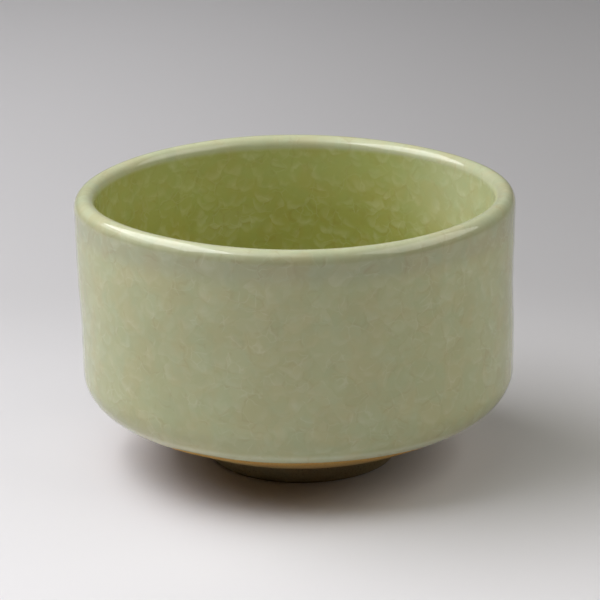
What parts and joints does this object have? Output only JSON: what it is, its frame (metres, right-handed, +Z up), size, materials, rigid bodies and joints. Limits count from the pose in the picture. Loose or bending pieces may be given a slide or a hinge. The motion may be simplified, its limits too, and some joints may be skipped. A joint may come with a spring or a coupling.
{
  "type": "matcha bowl",
  "caption": "Half-cylinder tea bowl for whisked matcha, with upright walls, a rounded lip, a low foot ring and a crackled pale green glaze that stops above the foot.",
  "frame": {"origin": "on the bowl's axis, at the level of the surface that the bowl stands on; the foot ring's own centre is 1.2 mm towards +X of it", "axes": "+Z up along the bowl's axis; X and Y across the rim, with -Y towards the side seen in front"},
  "size_m": [0.1204, 0.1196, 0.0765],
  "materials": {
    "clay": "bare fired stoneware, sandy, toasted orange brown, matt",
    "foot_clay": "bare fired stoneware, trimmed, matt",
    "outer_glaze": "glossy pale grey-green ash glaze with a fine pale crackle",
    "inner_glaze": "glossy yellow-green ash glaze with a fine pale crackle, pooled in the floor"
  },
  "bodies": {
    "root": {"clay_body": "clay", "foot_ring": "foot_clay", "outer_glaze": "outer_glaze", "inner_glaze": "inner_glaze"}
  },
  "joints": []
}
